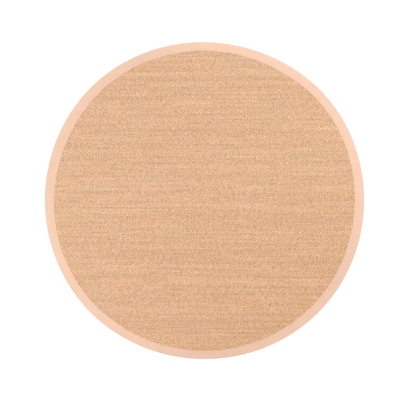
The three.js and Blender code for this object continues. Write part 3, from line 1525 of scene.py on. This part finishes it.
@dataclass
class CottonBinding:
    """The binding: one flat cotton tape folded over the cut edge and sewn through near its inner edge.

    Attributes:
        outline: The rug's outline.
        height: Over the binding, floor to top.
        thickness: Of the tape.
        roll: How far in from the rim the tape starts to curve round the edge.
        face_width: Width of each leaf.
        inner_edge: A leaf's soft inner edge: distances from it, and how deep the tape lies there,
            in mm.
        groove_at: Distance of the sewn line from the tape's inner edge.
        groove_depth: How far the sewing pulls the tape in.
        groove_sides: The groove: distances from the sewn line and how deep the tape lies there
            without it, in mm, and what part of the groove's depth is added.
        flat: Where the flat of a leaf has vertices, as parts of its width.
        steps: Number of steps around the rim.
        dye: Painted light and shade around the rim: where the tape is a little lighter or darker. The
        angles and reaches were chosen, and the strengths come from a least-squares fit to the photograph's
        tape.
        blush: Where it is a little redder.
        edge_blush: How much redder it is at its inner edge, where sisal dust has coloured it.
        rim_paling: How much paler it has worn at the rim than at its inner edge.
        pucker: Ripples of the tape beside the sewing.
        trim: Unevenness of the tape's inner edge.
        fading_out: How far from the inner edge both have mostly died away.
        hidden_strides: Number of the section's last strides, which lie inside the fold.
        hidden_share: Their size in the exporter's layout, as a part of what it would be.
        strips: Number of lengths that the tape is cut into for the exporter.
    """

    outline: Outline
    height: float = 7.0 * MM
    thickness: float = 1.2 * MM
    roll: float = 3.2 * MM
    face_width: float = 45 * MM
    inner_edge: tuple = ((0.0, 0.95), (0.15, 0.6), (0.5, 0.36), (1.3, 0.27))
    groove_at: float = 3.0 * MM
    groove_depth: float = 0.26 * MM
    groove_sides: tuple = ((-0.8, 0.22, 0.3), (0.0, 0.16, 1.0), (0.8, 0.12, 0.3), (2.2, 0.08, 0.0))
    flat: tuple = (0.3, 0.55, 0.78)
    steps: int = 720
    dye: tuple = (
        Swell(20, 45, 0.058),
        Swell(62, 38, 0.033),
        Swell(120, 35, -0.068),
        Swell(160, 40, -0.025),
        Swell(205, 45, 0.041),
        Swell(240, 35, 0.01),
        Swell(275, 40, -0.084),
        Swell(318, 38, -0.034),
    )
    blush: Swell = Swell(290, 55, 0.026)
    edge_blush: float = 0.02
    # rim_paling: How much paler it is at the rim than at its inner edge.
    rim_paling: float = 0.035
    pucker: Waves = Waves(0.14 * MM, 0.028, 0.08, 14, 5)
    trim: Waves = Waves(0.22 * MM, 0.05, 0.4, 9, 6)
    fading_out: float = 9 * MM
    hidden_strides: int = 9
    hidden_share: float = 0.15
    strips: int = 6

    @property
    def groove_floor(self) -> float:
        """How far the bottom of the groove lies below the leaf's face."""
        return max(depth * MM + share * self.groove_depth for _, depth, share in self.groove_sides)

    def near_seam(self, distance: np.ndarray | float) -> np.ndarray | float:
        """Returns how much of the ripples and trim is left at some distance from the inner edge."""
        return np.exp(-np.maximum(distance, 0) / self.fading_out)

    def leaf_points(self) -> list[SectionPoint]:
        """Lays out the visible side of one leaf, from its inner edge to the roll.

        Returns:
            The points, whose height is how far they lie below the leaf's face.
        """
        edge = [(aside * MM, depth * MM) for aside, depth in self.inner_edge]
        groove = [
            (self.groove_at + aside * MM, depth * MM + share * self.groove_depth)
            for aside, depth, share in self.groove_sides
        ]
        return [
            *(SectionPoint(1, 0, inset, depth) for inset, depth in edge + groove),
            *(SectionPoint(1, share, 0, 0) for share in self.flat),
        ]

    def section(self) -> list[SectionPoint]:
        """Lays out the tape's whole section, a U on its side.

        Returns:
            The points, from the lower leaf's inner edge round the outside and back inside.
        """
        lower = self.leaf_points()
        upper = [replace(point, height=self.height - point.height) for point in reversed(lower)]
        outer_steps, inner_steps = 8, 5
        floor, ceiling = self.thickness, self.height - self.thickness
        fold = rolled_edge(self.thickness, self.roll - self.thickness, floor, ceiling, inner_steps)
        return [
            *lower,
            *rolled_edge(0, self.roll, 0, self.height, outer_steps),
            *upper,
            SectionPoint(1, 0, 0, ceiling),
            SectionPoint(1, 0.5, 0, ceiling),
            *reversed(fold),
            SectionPoint(1, 0.5, 0, floor),
            SectionPoint(1, 0, 0, floor),
        ]

    def build(self) -> bpy.types.Object:
        """Builds the tape.

        Returns:
            The tape, a closed ring.
        """
        section = self.section()
        piece = spun("cotton_tape_binding", section, self.steps, self.outline, closed=True)
        mesh = piece.data
        self.settle(mesh)
        self.map_threads(mesh, section)
        return piece

    def settle(self, mesh: bpy.types.Mesh) -> None:
        """Ripples the tape beside its sewing and trims its inner edge unevenly, as by hand.

        Args:
            mesh: The tape's mesh.
        """
        points = read_points(mesh)
        share = read_attribute(mesh, "share")
        radius, angle = polar(points)
        from_seam = share * self.face_width + read_attribute(mesh, "inset")
        near_seam = self.near_seam(from_seam) * (share < 1)
        mean = float(self.outline.seam.mean())
        upper = points[:, 2] > self.height / 2
        points[:, 2] += self.pucker.at(angle, mean) * near_seam * upper
        radius += self.trim.at(angle, mean) * near_seam
        points[:, 0] = radius * np.cos(angle)
        points[:, 1] = radius * np.sin(angle)
        write_points(mesh, points)
        # Painted light and shade: the tape is lighter or darker by its angle round the rim; the rest makes
        # it paler towards the rim.
        tone = sum(swell.over(angle) for swell in self.dye)
        paler_at_rim = self.rim_paling * (np.clip(from_seam / self.face_width, 0, 1) - 0.5)
        write_attribute(mesh, "painted_light_and_paling", "FLOAT", "POINT", 1 + tone + paler_at_rim)
        blush = self.blush.over(angle) + self.edge_blush * near_seam
        write_attribute(mesh, "blush", "FLOAT", "POINT", 1 + blush)

    def map_threads(self, mesh: bpy.types.Mesh, section: list[SectionPoint]) -> None:
        """Lays the tape's own map along and across it, counted in threads.

        Args:
            mesh: The tape's mesh.
            section: The section that it was spun from.
        """
        face = float((self.outline.rim - self.outline.seam).mean())
        flat = np.array([[point.share * face + point.inset, point.height] for point in section])
        strides = np.linalg.norm(np.diff(flat, axis=0, append=flat[:1]), axis=1)
        along_section = np.concatenate([[0], np.cumsum(strides)])
        quads = loop_corners(mesh).reshape(-1, 4)
        _, angle = polar(read_points(mesh))
        turn = (angle / math.tau)[quads]
        turn = np.where(turn - turn.min(axis=1, keepdims=True) > 0.5, turn - 1, turn)
        station = np.round(read_attribute(mesh, "station")).astype(int)[quads]
        wraps = (station.max(axis=1) - station.min(axis=1) > 1)[:, None] & (station == 0)
        station = np.where(wraps, len(section), station)
        finish = CottonFinish()
        across = along_section[station] / finish.thread_pitch
        places = np.stack([turn * finish.threads_along, across], axis=2)
        write_uv(mesh, "threads", places.reshape(-1, 2))
        seen = np.arange(len(section)) < len(section) - self.hidden_strides
        shown = np.concatenate([[0], np.cumsum(strides * np.where(seen, 1, self.hidden_share))])
        layout = BakeMap(mesh)
        layout.lay_strips(np.full(turn.size, True), turn.ravel(), shown[station].ravel(), self.strips, 1.0)
        layout.write()


@dataclass
class BindingStitches:
    """The row of lockstitches that holds one leaf of the tape, a small bead of thread for each.

    Attributes:
        binding: The tape that is sewn.
        leaf: The leaf that the row lies on.
        pitch: Distance from stitch to stitch.
        length: Length of thread that shows in one stitch.
        thread: Thickness of the thread.
        bow: How far a stitch's ends dip below its middle, as a part of the thread.
        proud: How far its middle line stands over the groove's bottom, as a part of the thread.
        stray: How far a stitch strays from the row.
        skew: How far it turns out of the row, in radians.
        seed: Seed of the stitches' small differences.
    """

    binding: CottonBinding
    leaf: Leaf
    pitch: float = 4.2 * MM
    length: float = 3.5 * MM
    thread: float = 0.55 * MM
    bow: float = 0.3
    proud: float = 0.35
    stray: float = 0.07 * MM
    skew: float = 0.025
    seed: int = 11

    def one_stitch(self) -> tuple[np.ndarray, np.ndarray]:
        """Models one stitch along X, its ends dipping into the tape.

        Returns:
            Its vertices, and its triangles as rows of three vertex numbers.
        """
        bpy.ops.object.select_all(action="DESELECT")
        bpy.ops.mesh.primitive_uv_sphere_add(segments=6, ring_count=4, radius=self.thread / 2)
        bead = bpy.context.object
        with editing(bead):
            bpy.ops.transform.rotate(value=math.pi / 2, orient_axis="Y", center_override=(0, 0, 0))
            bpy.ops.transform.resize(value=(self.length / self.thread, 1, 1), center_override=(0, 0, 0))
            bpy.ops.mesh.quads_convert_to_tris()
        points = read_points(bead.data)
        faces = loop_corners(bead.data).reshape(-1, 3)
        bpy.data.objects.remove(bead)
        points[:, 2] -= self.bow * self.thread * (2 * points[:, 0] / self.length) ** 2
        return points, faces

    def build(self) -> bpy.types.Object:
        """Builds the row.

        Returns:
            The stitches, joined in one piece.
        """
        bead, faces = self.one_stitch()
        binding, outline = self.binding, self.binding.outline
        mean = float(outline.seam.mean())
        count = round(math.tau * (mean + binding.groove_at) / self.pitch)
        random = np.random.default_rng(self.seed)
        angle = np.arange(count) / count * math.tau
        radius = outline.seam_at(angle) + binding.groove_at + random.normal(0, self.stray, count)
        near_seam = binding.near_seam(binding.groove_at)
        radius += binding.trim.at(angle, mean) * near_seam
        sunk = binding.groove_floor - self.proud * self.thread
        if self.leaf is Leaf.TOP:
            height = binding.height - sunk + binding.pucker.at(angle, mean) * near_seam
            facing = 1
        else:
            height = np.full(count, sunk)
            facing = -1
        heading = angle + math.pi / 2 + random.normal(0, self.skew, count)
        turned_x = np.outer(np.cos(heading), bead[:, 0]) - np.outer(np.sin(heading), bead[:, 1])
        turned_y = np.outer(np.sin(heading), bead[:, 0]) + np.outer(np.cos(heading), bead[:, 1])
        points = np.stack([
            radius[:, None] * np.cos(angle)[:, None] + turned_x,
            radius[:, None] * np.sin(angle)[:, None] + turned_y,
            height[:, None] + facing * bead[:, 2][None, :],
        ], axis=2).reshape(-1, 3)
        triangles = (faces[None] + np.arange(count)[:, None, None] * len(bead)).reshape(-1, 3)
        if facing < 0:
            triangles = triangles[:, ::-1]
        mesh = bpy.data.meshes.new(f"binding_stitches_{self.leaf.value}")
        mesh.from_pydata(points.tolist(), [], triangles.tolist())
        mesh.polygons.foreach_set("use_smooth", np.ones(len(mesh.polygons), bool))
        self.lay_out(mesh, bead, count)
        piece = bpy.data.objects.new(mesh.name, mesh)
        bpy.context.scene.collection.objects.link(piece)
        return piece

    def lay_out(self, mesh: bpy.types.Mesh, bead: np.ndarray, count: int) -> None:
        """Lays the stitches out for the exporter, each one's upper and lower half in its own cell.

        Args:
            mesh: The row's mesh.
            bead: The vertices of one stitch.
            count: Number of stitches.
        """
        layout = BakeMap(mesh)
        stitch, vertex = np.divmod(layout.vertex, len(bead))
        x, y, _ = bead[vertex].T
        (x1, x2, x3), (y1, y2, y3) = x.reshape(-1, 3).T, y.reshape(-1, 3).T
        lower = (x2 - x1) * (y3 - y1) < (x3 - x1) * (y2 - y1)
        cell = stitch + count * np.repeat(lower, 3)
        columns, used = 24, 0.8
        across = cell % columns + used * x / self.length
        up = cell // columns + used * y / self.thread
        layout.lay(np.full(len(cell), True), across, up, (0, 0, 1, 1))
        layout.write()


@dataclass
class Studio:
    """A plain pale floor, soft studio light, and a camera straight above the rug.

    Attributes:
        lens: Focal length in millimetres.
        sensor: Width of the camera's sensor in millimetres.
        frame_px: Side of the picture, in pixels.
        rug_centre_px: Where the middle of the rug's round lies in the picture, from its top left.
        rug_radius_px: The rug's radius in the picture.
        rug_radius: The rug's mean radius in metres.
        dome_strength: Strength of the even light from all round.
        key_strength: Strength of the light from the upper right.
        key_softness: How wide that light is, as an angle.
        key_tilt: How far it is turned from straight above, about X and about Y.
        softbox_place: Where the softbox hangs.
        softbox_size: Its width.
        softbox_power: Its power in watts.
        floor_size: Width of the floor.
        floor_gap: How far the floor lies below the rug.
        floor_tone: How pale the floor is right below it, from 0 to 1.
        floor_rise: How much paler it gets for each square metre of the square of the distance from
            there, so that the backdrop stays even.
        floor_reach: The distance at which that ends.
    """

    lens: float = 85.0
    sensor: float = 36.0
    frame_px: float = 400.0
    rug_centre_px: tuple = (204.47, 200.54)
    rug_radius_px: float = 159.20
    rug_radius: float = 0.8
    dome_strength: float = 0.66
    key_strength: float = 0.9
    key_softness: float = math.radians(30)
    key_tilt: tuple = (math.radians(-3), math.radians(7))
    softbox_place: tuple = (-0.3, 0.75, 4.0)
    softbox_size: float = 1.5
    softbox_power: float = 63.5
    floor_size: float = 40
    floor_gap: float = 0.1 * MM
    floor_tone: float = 0.805
    floor_rise: float = 0.017
    floor_reach: float = 3.0

    def build(self) -> None:
        """Makes the camera, the floor and the lights."""
        self.camera()
        self.floor()
        self.lights()

    def camera(self) -> None:
        """Hangs the camera over the rug, with the top of the picture towards +Y."""
        bpy.ops.object.camera_add()
        camera = bpy.context.object
        camera.name = "overhead_camera"
        camera.data.lens = self.lens
        camera.data.sensor_width = self.sensor
        pixel = self.rug_radius / self.rug_radius_px
        distance = self.lens / self.sensor * self.frame_px * pixel
        right = (self.frame_px / 2 - self.rug_centre_px[0]) * pixel
        up = (self.rug_centre_px[1] - self.frame_px / 2) * pixel
        camera.location = (right, up, distance)
        camera.rotation_euler = (0, 0, 0)
        bpy.context.scene.camera = camera

    def floor(self) -> None:
        """Lays a wide pale floor just under the rug."""
        bpy.ops.object.select_all(action="DESELECT")
        bpy.ops.mesh.primitive_plane_add(size=self.floor_size, location=(0, 0, -self.floor_gap))
        bpy.ops.object.transform_apply(location=True, rotation=False, scale=False)
        floor = bpy.context.object
        floor.name = "studio_floor"
        finish = Finish("studio_floor")
        away = finish.node("VectorMath", operation="DISTANCE")
        finish.link(finish.node("TexCoord").outputs["Object"], away.inputs[0])
        away.inputs[1].default_value = (*self.softbox_place[:2], 0)
        distance = finish.maths("MINIMUM", away.outputs["Value"], self.floor_reach)
        rise = finish.maths("MULTIPLY", finish.maths("MULTIPLY", distance, distance), self.floor_rise)
        finish.link(finish.maths("ADD", rise, self.floor_tone), finish.shader.inputs["Base Color"])
        finish.shader.inputs["Roughness"].default_value = 1.0
        finish.shader.inputs["Specular IOR Level"].default_value = 0.0
        floor.data.materials.append(finish.material)

    def lights(self) -> None:
        """Lights the rug softly all round, and a little more from the upper right."""
        scene = bpy.context.scene
        scene.view_settings.view_transform = "Standard"
        world = bpy.data.worlds.new("studio_dome")
        scene.world = world
        world.use_nodes = True
        background = world.node_tree.nodes["Background"]
        background.inputs["Color"].default_value = (1.0, 1.0, 1.0, 1)
        background.inputs["Strength"].default_value = self.dome_strength
        bpy.ops.object.light_add(type="SUN")
        key = bpy.context.object
        key.name = "key_light"
        key.data.angle = self.key_softness
        key.data.energy = self.key_strength
        key.rotation_euler = (*self.key_tilt, 0)
        bpy.ops.object.light_add(type="AREA", location=self.softbox_place)
        softbox = bpy.context.object
        softbox.name = "softbox"
        softbox.data.shape = "DISK"
        softbox.data.size = self.softbox_size
        softbox.data.energy = self.softbox_power


def dress(piece: bpy.types.Object, material: bpy.types.Material) -> None:
    """Gives a piece its material and its body, and logs how many triangles it has.

    Args:
        piece: The finished piece.
        material: Its material.
    """
    piece.data.materials.clear()
    piece.data.materials.append(material)
    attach(piece, BODY)
    triangles = sum(len(face.vertices) - 2 for face in piece.data.polygons)
    LOG.info("%s: %d triangles", piece.name, triangles)


def main() -> None:
    """Loads the solids, builds the rug's pieces in order and sets up the studio."""
    logging.basicConfig(level=logging.INFO, format="%(message)s")
    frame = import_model()
    Studio().build()
    outline = Outline.from_tape(frame["nodes"]["cotton_binding"])

    sisal = SisalFinish().build()
    ground, *bands = SisalCloth(outline).build()
    dress(ground, SisalUndersideFinish().build())
    for band in bands:
        dress(band, sisal)
    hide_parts("sisal_mat")

    binding = CottonBinding(outline)
    tape = binding.build()
    dress(tape, CottonFinish().build())
    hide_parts("cotton_binding")

    thread = ThreadFinish().build()
    rows = [BindingStitches(binding, leaf).build() for leaf in Leaf]
    for row in rows:
        dress(row, thread)

    outline.area * CLOTH_SHARE


if __name__ == "__main__":
    main()
